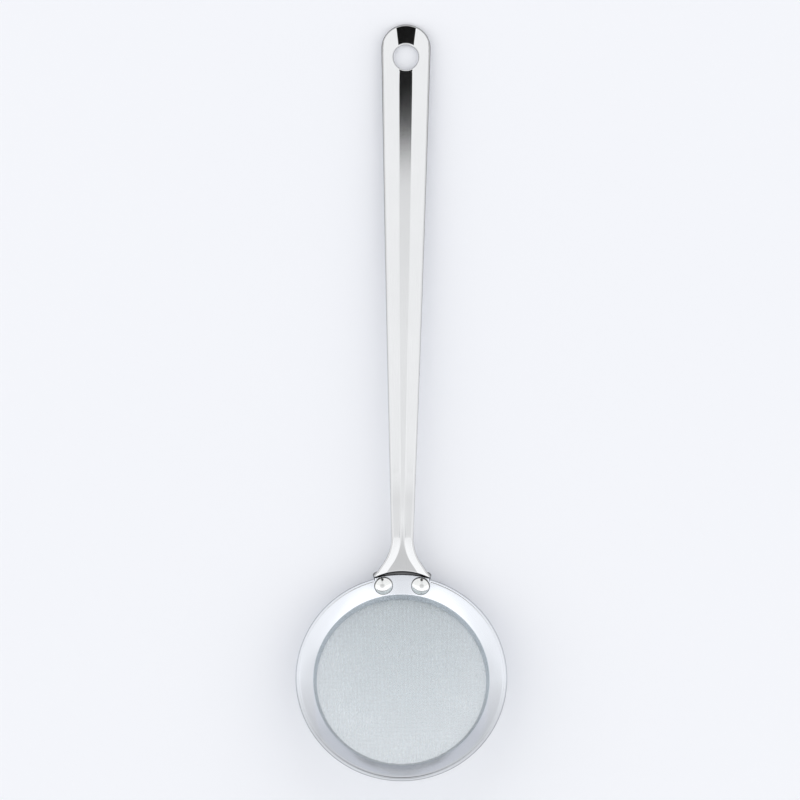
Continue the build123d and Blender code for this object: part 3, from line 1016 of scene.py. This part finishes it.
def steel(name, colour, rough, lines, grain, strength):
    """Stainless steel: brush lines along one way, fine scratches, soft patches of gloss and the painted shade
    its piece stores.
    """
    material = bpy.data.materials.new(name)
    material.use_nodes = True
    tree = material.node_tree
    shader = tree.nodes["Principled BSDF"]
    shader.inputs["Metallic"].default_value = 1.0
    place = add_node(tree, "ShaderNodeTexCoord").outputs["Object"]
    brush = add_node(tree, "ShaderNodeTexNoise", {
        "Vector": brush_lines(tree, place, lines, grain),
        "Scale": 1.0,
        "Detail": BRUSH_DETAIL,
        "Roughness": BRUSH_ROUGHNESS,
    })
    soft = {"Vector": place, "Scale": PATCH_SCALE, "Detail": PATCH_DETAIL}
    patch = add_node(tree, "ShaderNodeTexNoise", soft)
    parts = {"Factor": PATCH_SHARE, "A": brush.outputs["Fac"], "B": patch.outputs["Fac"]}
    sheen = add_node(tree, "ShaderNodeMix", parts).outputs[0]
    vary_gloss(tree, shader, sheen, rough)
    vary_colour(tree, shader, sheen, colour)
    raise_lines(tree, shader, brush, place, strength)
    return material


def paper():
    """Matt pale tabletop."""
    material = bpy.data.materials.new("pale_table")
    material.use_nodes = True
    tree = material.node_tree
    shader = tree.nodes["Principled BSDF"]
    shader.inputs["Roughness"].default_value = TABLE_ROUGHNESS
    shader.inputs["Specular IOR Level"].default_value = TABLE_SPECULAR
    place = add_node(tree, "ShaderNodeTexCoord").outputs["Object"]
    soft = {"Vector": place, "Scale": TABLE_CLOUDS, "Detail": TABLE_CLOUD_DETAIL}
    cloud = add_node(tree, "ShaderNodeTexNoise", soft)
    tint = add_node(tree, "ShaderNodeValToRGB", {"Fac": cloud.outputs["Fac"]})
    for stop, shade in zip(tint.color_ramp.elements, TABLE_SHADES):
        stop.color = (*shade, 1)
    tree.links.new(tint.outputs[0], shader.inputs["Base Color"])
    return material


# Studio
def make_table():
    """Pale floor under the skimmer."""
    mesh = bpy.data.meshes.new("table")
    half = TABLE_HALF
    corners = [(-half, -half, 0), (half, -half, 0), (half, half, 0), (-half, half, 0)]
    mesh.from_pydata(corners, [], [(0, 1, 2, 3)])
    floor = bpy.data.objects.new("table", mesh)
    bpy.context.scene.collection.objects.link(floor)
    mesh.materials.append(paper())


def screen_levels(tree, parts):
    """Brightness of the studio's screens along the handle, dimmer at the sides near the table."""
    lean = math_node(tree, "ARCTAN2", parts.outputs["Y"], parts.outputs["Z"])
    place = add_node(tree, "ShaderNodeMapRange", {"Value": lean, "From Min": -pi / 2, "From Max": pi / 2})
    screens = add_node(tree, "ShaderNodeValToRGB", {"Fac": place.outputs[0]})
    ramp = screens.color_ramp
    ramp.interpolation = "EASE"
    for i, (angle, level) in enumerate(SCREEN_LEVELS):
        stop = ramp.elements[i] if i < 2 else ramp.elements.new(1)
        stop.position = angle / 180 + 0.5
        stop.color = (level, level, level, 1)
    sides = add_node(tree, "ShaderNodeMapRange", {
        "Value": parts.outputs["Z"],
        "From Min": sin(SIDE_TOP / 2),
        "From Max": sin(SIDE_TOP),
        "To Min": SIDE_LEVEL,
        "To Max": 1.0,
    }, interpolation_type="SMOOTHSTEP")
    return math_node(tree, "MULTIPLY", screens.outputs[0], sides.outputs[0])


def soft_zone(tree, towards, before, lean, side, inner, outer, level):
    """Darkens the studio softly round one direction."""
    aim = Vector((side, sin(radians(lean)), cos(radians(lean)))).normalized()
    dot = add_node(tree, "ShaderNodeVectorMath", {0: towards, 1: aim}, operation="DOT_PRODUCT")
    shade = add_node(tree, "ShaderNodeMapRange", {
        "Value": dot.outputs["Value"],
        "From Min": cos(radians(outer)),
        "From Max": cos(radians(inner)),
        "To Min": 1.0,
        "To Max": level,
    }, interpolation_type="SMOOTHSTEP")
    return math_node(tree, "MULTIPLY", before, shade.outputs[0])


def make_studio():
    """White studio: its screens differ along the handle, and a dark gap stands over the handle's end."""
    world = bpy.data.worlds.new("studio")
    bpy.context.scene.world = world
    world.use_nodes = True
    tree = world.node_tree
    light = tree.nodes["Background"]
    towards = add_node(tree, "ShaderNodeTexCoord").outputs["Generated"]
    parts = add_node(tree, "ShaderNodeSeparateXYZ", {0: towards})
    value = screen_levels(tree, parts)
    for zone in (DARK_GAP, SEAT_ZONE, FLOOR_ZONE):
        value = soft_zone(tree, towards, value, *zone)
    rays = add_node(tree, "ShaderNodeLightPath")
    seen = add_node(tree, "ShaderNodeMix", {"Factor": rays.outputs["Is Camera Ray"], "A": value, "B": 1.0})
    tree.links.new(seen.outputs[0], light.inputs["Strength"])
    light.inputs["Color"].default_value = (1, 1, 1, 1)


def make_camera():
    """Camera straight above, as the photograph was taken."""
    data = bpy.data.cameras.new("camera")
    data.sensor_width = SENSOR_WIDTH
    data.lens = SENSOR_WIDTH * CAMERA_HEIGHT / FRAME_WIDTH
    data.clip_end = CLIP_END
    camera = bpy.data.objects.new("camera", data)
    camera.location = Vector((CAMERA_X, CAMERA_Y, CAMERA_HEIGHT)) * MM
    camera.rotation_euler = (0, 0, CAMERA_ROLL)
    bpy.context.scene.collection.objects.link(camera)
    bpy.context.scene.camera = camera


def dress(piece, slot, material, *nodes):
    """Gives a piece its finish and sets it in place of its frame nodes."""
    if material:
        piece.data.materials.clear()
        piece.data.materials.append(material)
    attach(piece, "root")
    for node in nodes:
        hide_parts(node)


def main():
    """Makes every piece with its finish, then the table, the studio and the camera."""
    rim_steel = steel("rim_satin_steel", *RIM_FINISH)
    ring_steel = steel("ring_rolled_steel", *RING_FINISH)
    handle_steel = steel("handle_polished_steel", *HANDLE_FINISH)
    rivet_steel = steel("rivet_polished_steel", *RIVET_FINISH)
    wire_steel = steel("gauze_wire_steel", *WIRE_FINISH)
    dress(make_rim(), "rim_steel", rim_steel, "rim_frame")
    dress(make_ring(), "ring_steel", ring_steel, "retaining_ring")
    dress(make_handle(), "handle_steel", handle_steel, "handle")
    dress(make_rivets(rivet_steel), "rivet_steel", None, "rivet_left", "rivet_right")
    warp, weft = make_gauze(wire_steel)
    dress(warp, "gauze_wire", None, "mesh_screen")
    dress(weft, "gauze_wire", None, "mesh_screen")
    make_table()
    make_studio()
    make_camera()
    bpy.context.scene.view_settings.view_transform = "Standard"


main()
